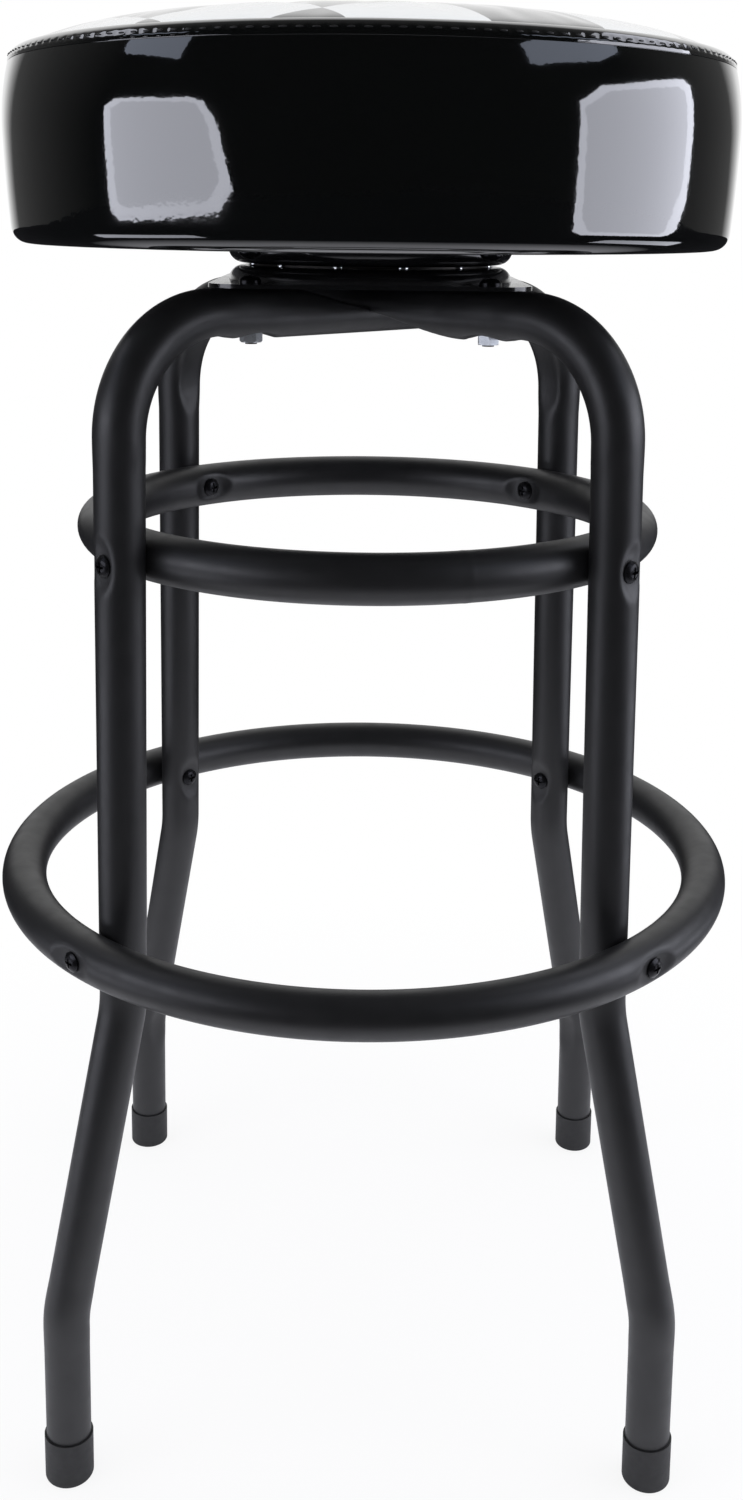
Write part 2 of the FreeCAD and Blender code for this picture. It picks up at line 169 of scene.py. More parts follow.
def add(tree, kind, inputs, **settings):
    """One shader node; each input is a value, or the output that it is linked to."""
    node = tree.nodes.new("ShaderNode" + kind)
    for name, value in settings.items():
        setattr(node, name, value)
    for name, value in inputs.items():
        if isinstance(value, bpy.types.NodeSocket):
            tree.links.new(value, node.inputs[name])
        else:
            node.inputs[name].default_value = value
    return node


def new_material(name):
    """An empty node material, its tree and its Object coordinates."""
    material = bpy.data.materials.new(name)
    material.use_nodes = True
    tree = material.node_tree
    tree.nodes.clear()
    place = add(tree, "TexCoord", {}).outputs["Object"]
    return material, tree, place


def grain(tree, place, size, detail=2.0, roughness=0.5):
    """Soft random grain whose lumps measure about size."""
    return add(tree, "TexNoise", {"Vector": place, "Scale": 1 / size, "Detail": detail,
                                  "Roughness": roughness}).outputs["Fac"]


def spread(tree, value, low, high):
    """A pattern's 0 to 1 laid out between two values."""
    return add(tree, "MapRange", {"Value": value, "From Min": 0.25, "From Max": 0.75,
                                  "To Min": low, "To Max": high}).outputs["Result"]


def tint(tree, value, first, second):
    """A colour between two hex colours, by a pattern."""
    mix = add(tree, "Mix", {"Factor": value, 6: linear(first), 7: linear(second)}, data_type="RGBA")
    return mix.outputs[2]


def bump(tree, height, depth, below=None):
    """Relief of a real depth, laid over other relief."""
    inputs = {"Height": height, "Distance": depth, "Strength": 1.0}
    if below:
        inputs["Normal"] = below
    return add(tree, "Bump", inputs).outputs["Normal"]


def close_material(tree, **inputs):
    """The surface shader and the output; a double underscore stands for a space."""
    named = {key.replace("__", " "): value for key, value in inputs.items()}
    shader = add(tree, "BsdfPrincipled", named).outputs["BSDF"]
    add(tree, "OutputMaterial", {"Surface": shader})


VINYL_PEEL = 2.6 * MM
VINYL_WAVE = 34 * MM
CHECK_SIZE = 54 * MM
CHECK_TURN = math.radians(31)
CHECK_OFFSET = (0.82, 0.28, 0.5)


def close_vinyl(tree, place, colour, soft, **more):
    """Patent vinyl: PVC pressed glass-smooth, then lacquered. Reflections stay sharp,
    and only waver with the skin's fine peel and the broad hollows of the foam below."""
    broad = bump(tree, grain(tree, place, VINYL_WAVE, detail=0.0), 0.16 * MM)
    relief = bump(tree, grain(tree, place, VINYL_PEEL, detail=1.0), 0.012 * MM, broad)
    wiped = spread(tree, grain(tree, place, 45 * MM, detail=3.0), soft * 0.7, soft * 1.5)
    close_material(tree, Base__Color=colour, Roughness=wiped, IOR=1.54, Normal=relief,
                   Coat__Weight=1.0, Coat__Roughness=0.02, Coat__IOR=1.6,
                   Coat__Normal=relief, **more)


def black_patent_vinyl():
    """Deep black patent vinyl: nearly no colour of its own, only reflections."""
    material, tree, place = new_material("black_patent_vinyl")
    colour = tint(tree, grain(tree, place, 60 * MM), "#030404", "#070808")
    close_vinyl(tree, place, colour, 0.05)
    return material


def check_patent_vinyl():
    """Patent vinyl printed in white and black squares, turned against the seat's front."""
    material, tree, place = new_material("check_patent_vinyl")
    turned = add(tree, "Mapping", {"Vector": place, "Rotation": (0, 0, -CHECK_TURN),
                                   "Scale": (1 / CHECK_SIZE, 1 / CHECK_SIZE, 0),
                                   "Location": CHECK_OFFSET})
    white = tint(tree, grain(tree, place, 30 * MM), "#eef1f0", "#f6f8f7")
    ink = tint(tree, grain(tree, place, 30 * MM), "#0b0d0f", "#111417")
    checks = add(tree, "TexChecker", {"Vector": turned.outputs["Vector"], "Color1": ink,
                                      "Color2": white, "Scale": 1.0})
    close_vinyl(tree, place, checks.outputs["Color"], 0.1)
    return material


def powder_coat():
    """Satin black powder coat on steel tube: sprayed and baked, so it has a faint orange
    peel, and its highlights are broad and a little mottled."""
    material, tree, place = new_material("satin_powder_coat")
    cloud = grain(tree, place, 25 * MM, detail=3.0)
    colour = tint(tree, cloud, "#0c0c0e", "#131315")
    gloss = spread(tree, grain(tree, place, 9 * MM, detail=4.0), 0.4, 0.5)
    relief = bump(tree, grain(tree, place, 1.1 * MM, detail=1.0), 0.02 * MM)
    close_material(tree, Base__Color=colour, Roughness=gloss, IOR=1.62, Normal=relief)
    return material


def cap_plastic():
    """Moulded black polyethylene: matt, slightly greyer than the tube, finely textured."""
    material, tree, place = new_material("moulded_polyethylene")
    colour = tint(tree, grain(tree, place, 6 * MM, detail=4.0), "#1b1b1c", "#252526")
    gloss = spread(tree, grain(tree, place, 4 * MM), 0.5, 0.62)
    relief = bump(tree, grain(tree, place, 0.6 * MM, detail=2.0), 0.03 * MM)
    close_material(tree, Base__Color=colour, Roughness=gloss, IOR=1.5, Normal=relief)
    return material


def plate_enamel():
    """Gloss black stoving enamel on pressed steel: dipped, so wetter than the tubes."""
    material, tree, place = new_material("gloss_stoving_enamel")
    colour = tint(tree, grain(tree, place, 20 * MM, detail=3.0), "#0a0a0b", "#101012")
    gloss = spread(tree, grain(tree, place, 8 * MM, detail=3.0), 0.16, 0.26)
    relief = bump(tree, grain(tree, place, 6 * MM, detail=1.0), 0.06 * MM)
    close_material(tree, Base__Color=colour, Roughness=gloss, IOR=1.5, Normal=relief,
                   Coat__Weight=0.5, Coat__Roughness=0.06, Coat__IOR=1.5)
    return material


def plated_metal(name, dull, bright, low, high, patch, metallic=1.0):
    """Plated or bare steel, with cloudy patches from the plating bath or the mill."""
    material, tree, place = new_material(name)
    cloud = grain(tree, place, patch, detail=4.0)
    colour = tint(tree, cloud, dull, bright)
    gloss = spread(tree, grain(tree, place, patch / 3, detail=3.0), low, high)
    relief = bump(tree, grain(tree, place, 0.5 * MM, detail=2.0), 0.01 * MM)
    close_material(tree, Base__Color=colour, Roughness=gloss, Metallic=metallic, Normal=relief)
    return material


def upholstery_foam():
    """Cut polyurethane foam: pale, matt and full of open cells."""
    material, tree, place = new_material("polyurethane_foam")
    cells = add(tree, "TexVoronoi", {"Vector": place, "Scale": 1 / (1.2 * MM)}).outputs["Distance"]
    colour = tint(tree, grain(tree, place, 15 * MM), "#d9d2b8", "#e6e0c8")
    close_material(tree, Base__Color=colour, Roughness=0.95, IOR=1.45,
                   Normal=bump(tree, cells, 0.4 * MM))
    return material


def birch_plywood():
    """Birch plywood: warm pale faces, and the plies as stripes on the cut edge."""
    material, tree, place = new_material("birch_plywood")
    stretched = add(tree, "Mapping", {"Vector": place, "Scale": (1, 12, 1)}).outputs["Vector"]
    figure = grain(tree, stretched, 40 * MM, detail=6.0)
    face = tint(tree, figure, "#c79f6b", "#e0c394")
    plies = add(tree, "TexWave", {"Vector": place, "Scale": 1 / (20 * 2.4 * MM),
                                  "Distortion": 0.5}, bands_direction="Z").outputs["Fac"]
    colour = add(tree, "Mix", {"Factor": plies, 6: face, 7: linear("#8f6a40")}, data_type="RGBA")
    close_material(tree, Base__Color=colour.outputs[2], Roughness=0.7, IOR=1.5,
                   Normal=bump(tree, figure, 0.1 * MM))
    return material


def spunbond_cloth():
    """Black spunbond polypropylene: a thin felted cloth with a pressed dot pattern."""
    material, tree, place = new_material("spunbond_cloth")
    dots = add(tree, "TexVoronoi", {"Vector": place, "Scale": 1 / (2.0 * MM),
                                    "Randomness": 0.15}).outputs["Distance"]
    fibres = grain(tree, place, 0.8 * MM, detail=5.0, roughness=0.7)
    colour = tint(tree, fibres, "#101010", "#232323")
    relief = bump(tree, fibres, 0.08 * MM, bump(tree, dots, 0.1 * MM))
    close_material(tree, Base__Color=colour, Roughness=0.85, IOR=1.5, Normal=relief,
                   Sheen__Weight=0.2, Sheen__Roughness=0.5)
    return material


def bonded_thread():
    """Black bonded polyester thread: twisted and waxed, its colour painted a little brighter on the
    raised strands of its twist, a painted sheen.
    """
    material, tree, place = new_material("bonded_thread")
    strand_relief_and_sheen = grain(tree, place, 0.5 * MM, detail=2.0)
    # painted sheen: the colour is lighter where the strand relief is higher
    colour = tint(tree, strand_relief_and_sheen, "#0b0b0c", "#1c1c1e")
    close_material(tree, Base__Color=colour, Roughness=0.42, IOR=1.5,
                   Normal=bump(tree, strand_relief_and_sheen, 0.06 * MM))
    return material


# Lamps, world and floor

SEAT_MIDDLE = Vector((0, 0, 0.715))
BOX_EDGE = 0.5
BOX_RIM_FROM = 0.42
BOX_CORNERS = 1.86


def add_softbox(name, azimuth, elevation, distance, size, radiance, colour,
                rim=1.0, taper=0.0, inner=1, cut=0.0, slope=1):
    """An area lamp that faces the seat. Azimuth is from the front, to the right. Its
    inner side may slant in towards the top, two of its corners may be cut off, and its
    rim may be brighter, as a worn cloth softbox looks."""
    width, height = size
    data = bpy.data.lights.new(name, "AREA")
    data.shape = "RECTANGLE"
    data.size = width
    data.size_y = height
    data.color = linear(colour)[:3]
    data.energy = radiance * math.pi * width * height
    data.use_nodes = True
    tree = data.node_tree
    tree.nodes.clear()

    def calc(operation, *values):
        return add(tree, "Math", dict(enumerate(values)), operation=operation).outputs[0]

    across = add(tree, "NewGeometry", {}).outputs["Parametric"]
    parts = add(tree, "SeparateXYZ", {0: across})
    up = calc("SUBTRACT", parts.outputs["Y"], 0.5)
    out = calc("MULTIPLY_ADD", parts.outputs["X"], inner, -0.5 * inner)
    narrow = calc("MULTIPLY_ADD", up, taper, 0.5 * taper)
    shifted = calc("MULTIPLY_ADD", narrow, 0.5, out)
    out = calc("DIVIDE", shifted, calc("SUBTRACT", 1.0, narrow))
    aside, above = calc("ABSOLUTE", out), calc("ABSOLUTE", up)
    leaning = calc("ABSOLUTE", calc("MULTIPLY_ADD", up, slope, out))
    corners = calc("MULTIPLY", calc("ADD", aside, above), 1 / BOX_CORNERS)
    reach = calc("MAXIMUM", calc("MAXIMUM", aside, above), corners)
    reach = calc("MAXIMUM", reach, calc("MULTIPLY", leaning, 1 / (2 - cut)))
    lift = calc("MULTIPLY_ADD", calc("GREATER_THAN", reach, BOX_RIM_FROM), rim - 1, 1.0)
    level = calc("MULTIPLY", lift, calc("LESS_THAN", reach, BOX_EDGE))
    glow = add(tree, "Emission", {"Strength": level})
    add(tree, "OutputLight", {"Surface": glow.outputs[0]})
    lamp = bpy.data.objects.new(name, data)
    bpy.context.scene.collection.objects.link(lamp)
    turn, rise = math.radians(azimuth), math.radians(elevation)
    back = Vector((math.sin(turn) * math.cos(rise),
                   -math.cos(turn) * math.cos(rise), math.sin(rise)))
    lamp.location = SEAT_MIDDLE + back * distance
    lamp.rotation_mode = "QUATERNION"
    lamp.rotation_quaternion = back.to_track_quat("Z", "Y")


def add_world():
    """White to the camera; to the stool, a dim room with a white wall behind it."""
    world = bpy.data.worlds.new("studio")
    world.use_nodes = True
    tree = world.node_tree
    tree.nodes.clear()
    towards = add(tree, "TexCoord", {}).outputs["Generated"]
    parts = add(tree, "SeparateXYZ", {0: towards})
    rise = add(tree, "Math", {0: parts.outputs["Z"], 1: 0.0}, operation="MAXIMUM")
    depth = add(tree, "Math", {0: rise.outputs[0], 1: 0.4, 2: parts.outputs["Y"]},
                operation="MULTIPLY_ADD")
    share = add(tree, "MapRange", {"Value": depth.outputs[0], "From Min": -1.0, "From Max": 1.0})
    wall = add(tree, "ValToRGB", {"Fac": share.outputs["Result"]})
    stops = wall.color_ramp.elements
    stops[0].position = 0.5
    stops[0].color = (0.012, 0.012, 0.012, 1)
    stops[1].position = 0.97
    stops[1].color = (0.9, 0.9, 0.9, 1)
    for position, level in ((0.68, 0.06), (0.9, 0.1)):
        stops.new(position).color = (level, level, level, 1)
    path = add(tree, "LightPath", {})
    seen = add(tree, "Math", {0: path.outputs["Is Camera Ray"],
                              1: path.outputs["Is Transmission Ray"]}, operation="MAXIMUM")
    room = add(tree, "Mix", {"Factor": path.outputs["Is Glossy Ray"], 6: (0.8, 0.8, 0.82, 1),
                             7: wall.outputs["Color"]}, data_type="RGBA")
    shown = add(tree, "Mix", {"Factor": seen.outputs[0], 6: room.outputs[2], 7: (1, 1, 1, 1)},
                data_type="RGBA")
    sky = add(tree, "Background", {"Color": shown.outputs[2]})
    add(tree, "OutputWorld", {"Surface": sky.outputs[0]})
    bpy.context.scene.world = world


def add_floor():
    """A white floor that keeps a faint shadow and fades into the white behind it. Far
    from the lamps its colour is painted dark, a painted shade that only the reflections show."""
    material, tree, place = new_material("white_paper")
    paths = add(tree, "LightPath", {})
    away = add(tree, "VectorMath", {0: place}, operation="LENGTH").outputs["Value"]
    # painted shade: for reflections, the floor colour turns dark from 0.45 to 0.9 m out
    painted_far_shade = add(tree, "MapRange", {"Value": away, "From Min": 0.45, "From Max": 0.9})
    dark = add(tree, "Math", {0: paths.outputs["Is Glossy Ray"], 1: painted_far_shade.outputs["Result"]},
               operation="MULTIPLY")
    shade = add(tree, "Mix", {"Factor": dark.outputs[0], 6: linear("#f2f2f4"),
                              7: linear("#202022")}, data_type="RGBA")
    paper = add(tree, "BsdfDiffuse", {"Color": shade.outputs[2]})
    white = add(tree, "Emission", {"Color": (1, 1, 1, 1), "Strength": 1.0})
    fade = add(tree, "MapRange", {"Value": away, "From Min": 0.25, "From Max": 0.6,
                                  "To Min": 0.86, "To Max": 1.0})
    share = add(tree, "Math", {0: paths.outputs["Is Camera Ray"], 1: fade.outputs["Result"]},
                operation="MULTIPLY")
    mixed = add(tree, "MixShader", {0: share.outputs[0], 1: paper.outputs[0], 2: white.outputs[0]})
    add(tree, "OutputMaterial", {"Surface": mixed.outputs[0]})
    bm = bmesh.new()
    bmesh.ops.create_circle(bm, cap_ends=True, segments=96, radius=12)
    mesh = bpy.data.meshes.new("floor")
    bm.to_mesh(mesh)
    bm.free()
    mesh.materials.append(material)
    floor = bpy.data.objects.new("floor", mesh)
    bpy.context.scene.collection.objects.link(floor)


# Tubes: straight stock, pressed where the real tube is pressed, and then bent

TUBE_R = 12.5 * MM
TUBE_SIDES = 48
TUBE_STEP = 2.2 * MM
PRESS_WIDENING = 0.284

CROWN_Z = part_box("leg_hoop_over")[1].z - TUBE_R
LEG_R_AT_CROWN = 164.8 * MM
LEG_SPLAY = math.radians(2.6)
SHIN_SPLAY = math.radians(15.5)
KNEE_Z = 282 * MM
ANKLE_Z = 109 * MM
CAP_SOLE = 4 * MM
SHOULDER_BEND_R = 57 * MM
KNEE_BEND_R = 70 * MM
SHOULDER_CRUSH = 2.6 * MM
KNEE_CRUSH = 1.8 * MM
CRUSH_HOLLOW = 0.5 * MM
CRUSH_FADE = 24 * MM
CRUSH_SOFT = 1.4 * MM
SADDLE_DEPTH = 2.8 * MM
SADDLE_SOFT = 1.2 * MM
DENT_R = 31 * MM
DENT_STEEPENING = 1.9
DENT_SOFT = 1.6 * MM
DENT_DEPTH = 3.0 * MM
NUT_DENT_DEPTH = 3.5 * MM
DENT_SEAT = 4.5 * MM
LAP_FLAT = 34 * MM
LAP_LENGTH = 116 * MM
LAP_SOFT = 3.0 * MM
LAP_END_SOFT = 5 * MM
BOLT_SQUARE = 119 * MM


def leg_radius(z):
    """Distance of the upper leg's middle line from the swivel axis."""
    return LEG_R_AT_CROWN + math.tan(LEG_SPLAY) * (CROWN_Z - z)


def straight_tube(length, step):
    """A straight tube along Z from the origin, cut across at every step."""
    bm = bmesh.new()
    bmesh.ops.create_cone(bm, cap_ends=False, segments=TUBE_SIDES, radius1=TUBE_R,
                          radius2=TUBE_R, depth=length)
    bmesh.ops.translate(bm, vec=(0, 0, length / 2), verts=bm.verts)
    long_edges = [e for e in bm.edges if e.calc_length() > length / 2]
    bmesh.ops.subdivide_edges(bm, edges=long_edges, cuts=round(length / step), use_grid_fill=True)
    return bm


def bent_runs(corners, radii):
    """The straight runs and round bends through corners in the (across, up) plane, as
    (length, turn per metre), and the heading that they start with."""
    sides = [b - a for a, b in zip(corners, corners[1:])]
    headings = [math.atan2(side.x, side.y) for side in sides]
    turns = [b - a for a, b in zip(headings, headings[1:])]
    reaches = [r * math.tan(abs(turn) / 2) for r, turn in zip(radii, turns)]
    runs = []
    for k, side in enumerate(sides):
        cut = sum(reaches[max(k - 1, 0):k + 1])
        runs.append((side.length - cut, 0.0))
        if k < len(turns):
            runs.append((abs(turns[k]) * radii[k], math.copysign(1 / radii[k], turns[k])))
    return runs, headings[0]


def along_runs(runs, start, heading, distance):
    """The point and heading at a distance along the runs."""
    point = start.copy()
    for length, turn in runs:
        step = min(length, distance)
        if turn:
            ahead = heading + turn * step
            point += Vector((math.cos(heading) - math.cos(ahead),
                             math.sin(ahead) - math.sin(heading))) / turn
            heading = ahead
        else:
            point += Vector((math.sin(heading), math.cos(heading))) * step
        distance -= step
        if distance <= 0:
            break
    return point, heading


def press(co, side, limit, soft):
    """Presses one side of the tube in to a limit. The tube gives way sideways."""
    depth = max(TUBE_R - limit, 0)
    co.x = side * soft_min(side * co.x, limit, soft)
    co.y *= 1 + PRESS_WIDENING * depth / TUBE_R


def press_crush(co, start, end, crush):
    """The flat, slightly hollow face that a bending former leaves inside a bend."""
    fade = smooth_step(co.z, start - CRUSH_FADE, start)
    fade *= 1 - smooth_step(co.z, end, end + CRUSH_FADE)
    if fade > 0:
        hollow = CRUSH_HOLLOW * (1 - min(abs(co.y) / (TUBE_R * 0.6), 1) ** 2)
        limit = TUBE_R + CRUSH_SOFT - (crush + CRUSH_SOFT) * fade - hollow * fade
        press(co, 1, limit, CRUSH_SOFT)


def press_dent(co, side, place, depth):
    """The dished dent that a screw or nut is pulled down into."""
    out = math.hypot(co.y, co.z - place)
    if out < DENT_R / 2:
        dish = DENT_R - math.sqrt(DENT_R ** 2 - max(out - DENT_SEAT, 0) ** 2)
        limit = TUBE_R - depth + dish * DENT_STEEPENING
        co.x = side * soft_min(side * co.x, limit, DENT_SOFT)


def press_saddle(co, side, place, ring_r):
    """The round seat that a ring's tube presses into the side of a leg."""
    off = abs(co.z - place)
    if off < TUBE_R:
        away = 2 * TUBE_R - SADDLE_DEPTH + side * co.y ** 2 / (2 * ring_r)
        limit = away - math.sqrt(TUBE_R ** 2 - off ** 2)
        co.x = side * soft_min(side * co.x, limit, SADDLE_SOFT)


def press_lap(co, side, middle):
    """The half-height flat where the two hoops cross."""
    off = abs(co.z - middle)
    if off < LAP_LENGTH / 2 + TUBE_R:
        slope = TUBE_R / (LAP_LENGTH / 2 - LAP_FLAT / 2)
        limit = -soft_min((LAP_FLAT / 2 - off) * slope, 0, LAP_END_SOFT)
        press(co, side, limit, LAP_SOFT)


def ring_size(name):
    """A ring's radius at its middle line, and its height."""
    low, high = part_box(name)
    return high.x - TUBE_R, (low.z + high.z) / 2


def leg_hoop(name, turn, lap_side, material):
    """A whole leg hoop, foot to foot, in the upright plane that is turned to its diagonal."""
    knee_r = leg_radius(KNEE_Z)
    ankle_r = knee_r + math.tan(SHIN_SPLAY) * (KNEE_Z - ANKLE_Z)
    foot_r = ankle_r + math.tan(LEG_SPLAY) * (ANKLE_Z - CAP_SOLE)
    left = [Vector((-r, z)) for r, z in (
        (foot_r, CAP_SOLE), (ankle_r, ANKLE_Z), (knee_r, KNEE_Z), (LEG_R_AT_CROWN, CROWN_Z))]
    corners = left + [Vector((-p.x, p.y)) for p in left[::-1]]
    radii = [KNEE_BEND_R, KNEE_BEND_R, SHOULDER_BEND_R]
    radii += radii[::-1]
    crushes = [KNEE_CRUSH, 0, SHOULDER_CRUSH, SHOULDER_CRUSH, 0, KNEE_CRUSH]
    runs, heading = bent_runs(corners, radii)
    length = sum(run for run, _ in runs)
    starts = [sum(run for run, _ in runs[:k]) for k in range(len(runs))]
    bends = [(start, start + run[0]) for start, run in zip(starts, runs) if run[1]]
    upper_r, upper_z = ring_size("upper_ring")
    foot_ring_r, foot_ring_z = ring_size("foot_ring")
    above_knee = bends[1][1]
    leg_start, _ = along_runs(runs, corners[0], heading, above_knee)
    knee_at = above_knee + (KNEE_Z - leg_start.y) / math.cos(LEG_SPLAY)
    upper_at, foot_at = (knee_at + (z - KNEE_Z) / math.cos(LEG_SPLAY) for z in (upper_z, foot_ring_z))
    bolt_at = length / 2 - BOLT_SQUARE / math.sqrt(2)
    bm = straight_tube(length, TUBE_STEP)
    for vert in bm.verts:
        co = vert.co
        for (start, end), crush in zip(bends, crushes):
            if crush:
                press_crush(co, start, end, crush)
        for upper, foot, bolt in (
                (upper_at, foot_at, bolt_at),
                (length - upper_at, length - foot_at, length - bolt_at)):
            press_saddle(co, 1, upper, upper_r)
            press_dent(co, -1, upper, DENT_DEPTH)
            press_saddle(co, -1, foot, foot_ring_r)
            press_dent(co, 1, foot, DENT_DEPTH)
            press_dent(co, 1, bolt, NUT_DENT_DEPTH)
        press_lap(co, lap_side, length / 2)
    across = Matrix.Rotation(math.radians(turn), 3, "Z") @ Vector((1, 0, 0))
    aside = Vector((0, 0, 1)).cross(across)
    for vert in bm.verts:
        point, ahead = along_runs(runs, corners[0], heading, vert.co.z)
        inward = across * math.cos(ahead) - Vector((0, 0, math.sin(ahead)))
        middle = across * point.x + Vector((0, 0, point.y))
        vert.co = middle + inward * vert.co.x + aside * vert.co.y
    return finish_piece(bm, name, "base", material, [name])


RING_STEP = 1.5 * MM
WELD_PLACE = math.radians(-72)
WELD_BEAD = 0.14 * MM
WELD_WIDTH = 1.4 * MM


def tube_ring(name, dent_side, welded, material):
    """A ring rolled from straight tube, dented at the four legs and butt welded."""
    ring_r, ring_z = ring_size(name)
    length = 2 * math.pi * ring_r
    bm = straight_tube(length, RING_STEP)
    for vert in bm.verts:
        co = vert.co
        for quarter in range(4):
            press_dent(co, dent_side, length * (quarter + 0.5) / 4, DENT_DEPTH)
        if welded:
            off = (co.z - WELD_PLACE % (2 * math.pi) * ring_r) / WELD_WIDTH
            swell = 1 + WELD_BEAD / TUBE_R * math.exp(-off * off)
            co.x *= swell
            co.y *= swell
    for vert in bm.verts:
        turn = vert.co.z / ring_r
        out = Vector((math.cos(turn), math.sin(turn), 0))
        vert.co = out * (ring_r - vert.co.x) + Vector((0, 0, ring_z + vert.co.y))
    bmesh.ops.remove_doubles(bm, verts=bm.verts, dist=0.05 * MM)
    bmesh.ops.recalc_face_normals(bm, faces=bm.faces)
    return finish_piece(bm, name, "base", material, [name])


# Seat: one sewn cover, swelled over its foam and then parted at its seams

band_low, band_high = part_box("side_band")
top_low, top_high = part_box("top_cover")
SEAT_R = band_high.x
BASE_Z = band_low.z
TOP_Z = top_high.z
SEAM_R = top_high.x
SEAM_Z = TOP_Z - 16.2 * MM
CROWN_FLAT_R = 115 * MM
CROWN_SAG = 3 * MM
SHOULDER = (SEAT_R - 4.9 * MM, SEAM_Z - 4.8 * MM)
CORNER_SWELL = 0.9 * MM
CORNER_DROP = 1.95 * MM
CORNER = ((SEAM_R + SHOULDER[0]) / 2 + CORNER_SWELL, SEAM_Z - CORNER_DROP)
BULGE = (SEAT_R, BASE_Z + 52 * MM)
BASE_R = SEAT_R - 1.2 * MM
BASE_CORNER_R = 8 * MM
WINDOW_R = BASE_R - 30 * MM
SKIN_T = 1.2 * MM
COVER_TURNS = 240
STITCH_COUNT = 165
HEM_DROP = 6.6 * MM
HEM_T = 0.35 * MM
HEM_FADE = 1.6 * MM
STAPLE_COUNT = 46
STAPLE_PULL = 0.6
SEAM_WANDER = 0.7 * MM
MAX_PUCKER = 1.3 * MM


def axis_distance(co):
    """How far a place is from the swivel axis."""
    return math.hypot(co.x, co.y)


def base_corner(inset):
    """Where the seat's side begins to turn in to its bottom."""
    return BASE_R - inset, BASE_Z + inset + BASE_CORNER_R


def side_section(inset, corner_steps, upper_steps, lower_steps):
    """The seat's side, from the seam over the shoulder and down to the base corner."""
    seam = (SEAM_R - inset, SEAM_Z - inset * 0.6)
    shoulder = Vector((SHOULDER[0] - inset, SHOULDER[1]))
    bulge = (BULGE[0] - inset, BULGE[1])
    low = base_corner(inset)
    side = arc_points(seam, (CORNER[0] - inset, CORNER[1] - inset / 2), shoulder, corner_steps)
    side.append(shoulder)
    side += tangent_points(bulge, (0, 1), shoulder, upper_steps)[:0:-1]
    return side + tangent_points(bulge, (0, -1), low, lower_steps)


def seat_section(inset):
    """The seat's half section from the crown to the window in its bottom."""
    crown = (0, TOP_Z - inset)
    rim = (CROWN_FLAT_R, crown[1] - CROWN_SAG)
    lean = 2 * math.atan2(CROWN_SAG, CROWN_FLAT_R)
    side = side_section(inset, 5, 9, 14)
    low = base_corner(inset)
    under = (low[0] - BASE_CORNER_R, BASE_Z + inset)
    slant = BASE_CORNER_R * (1 - math.sqrt(0.5))
    top = tangent_points(crown, (1, 0), rim, 20)
    top += tangent_points(rim, (math.cos(lean), -math.sin(lean)), side[0], 15)
    turn = arc_points(low, (low[0] - slant, under[1] + slant), under, 7)
    return top, side, turn, under


def swell(cover, held):
    """Presses the foam into the sewn cover, with the held vertices kept in place."""
    group = cover.vertex_groups.new(name="sewn")
    group.add(held, 1.0, "REPLACE")
    cloth = cover.modifiers.new("stuffing", "CLOTH")
    settings = cloth.settings
    settings.quality = 5
    settings.mass = 0.35
    settings.tension_stiffness = 25
    settings.compression_stiffness = 25
    settings.bending_stiffness = 2.0
    settings.vertex_group_mass = "sewn"
    settings.use_pressure = True
    settings.uniform_pressure_force = 4
    settings.effector_weights.gravity = 0
    scene = bpy.context.scene
    for moment in range(1, 21):
        scene.frame_set(moment)
    shape = cover.evaluated_get(bpy.context.evaluated_depsgraph_get()).to_mesh()
    places = [v.co.copy() for v in shape.vertices]
    cover.modifiers.remove(cloth)
    scene.frame_set(1)
    return places


def sewn_vertices(mesh, under_r):
    """The vertices that the seam and the staples hold. The seam wanders a little."""
    held = []
    for index, vert in enumerate(mesh.vertices):
        r = axis_distance(vert.co)
        turn_share = (math.atan2(vert.co.y, vert.co.x) / (2 * math.pi)) % 1
        pull = (1 + math.cos(2 * math.pi * turn_share * STAPLE_COUNT)) / 2
        under_board = vert.co.z < BASE_Z + 0.1 * MM and r < under_r + 0.1 * MM
        if under_board and (pull > STAPLE_PULL or r < under_r - 6 * MM):
            held.append(index)
        if abs(r - SEAM_R) < 0.3 * MM and vert.co.z > SHOULDER[1]:
            held.append(index)
            slack = 1 + (random.random() - 0.5) * SEAM_WANDER / SEAM_R
            vert.co.x *= slack
            vert.co.y *= slack
    return held


def pucker(mesh, rest, swelled):
    """Moves the cover by what the stuffing added to it, less the mean of each round ring."""
    rings = {}
    for index, co in enumerate(rest):
        key = (round(axis_distance(co) / MM, 1), round(co.z / MM, 1))
        rings.setdefault(key, []).append(index)
    for ring in rings.values():
        growth = [axis_distance(swelled[i]) - axis_distance(rest[i]) for i in ring]
        lift = [swelled[i].z - rest[i].z for i in ring]
        mean_growth, mean_lift = sum(growth) / len(ring), sum(lift) / len(ring)
        for i, out, up in zip(ring, growth, lift):
            out = min(max(out - mean_growth, -MAX_PUCKER), MAX_PUCKER)
            up = min(max(up - mean_lift, -MAX_PUCKER), MAX_PUCKER)
            radius = axis_distance(rest[i])
            share = 1 + out / radius if radius > 5 * MM else 1
            mesh.vertices[i].co = (rest[i].x * share, rest[i].y * share, rest[i].z + up)


def seat_cover():
    """The sewn cover as one mesh, with the puckers that its stuffing leaves."""
    top, side, turn, under = seat_section(0)
    window = (WINDOW_R, BASE_Z)
    section = top + side + turn + line_points(under, window, 5)
    section += line_points(window, (0, BASE_Z), 6) + [Vector((0, BASE_Z))]
    bm = spun(section, COVER_TURNS, closed=False)
    mesh = bpy.data.meshes.new("cover")
    bm.to_mesh(mesh)
    bm.free()
    rest = [v.co.copy() for v in mesh.vertices]
    cover = bpy.data.objects.new("cover", mesh)
    bpy.context.scene.collection.objects.link(cover)
    swelled = swell(cover, sewn_vertices(mesh, under[0]))
    bpy.data.objects.remove(cover)
    pucker(mesh, rest, swelled)
    return mesh, rest


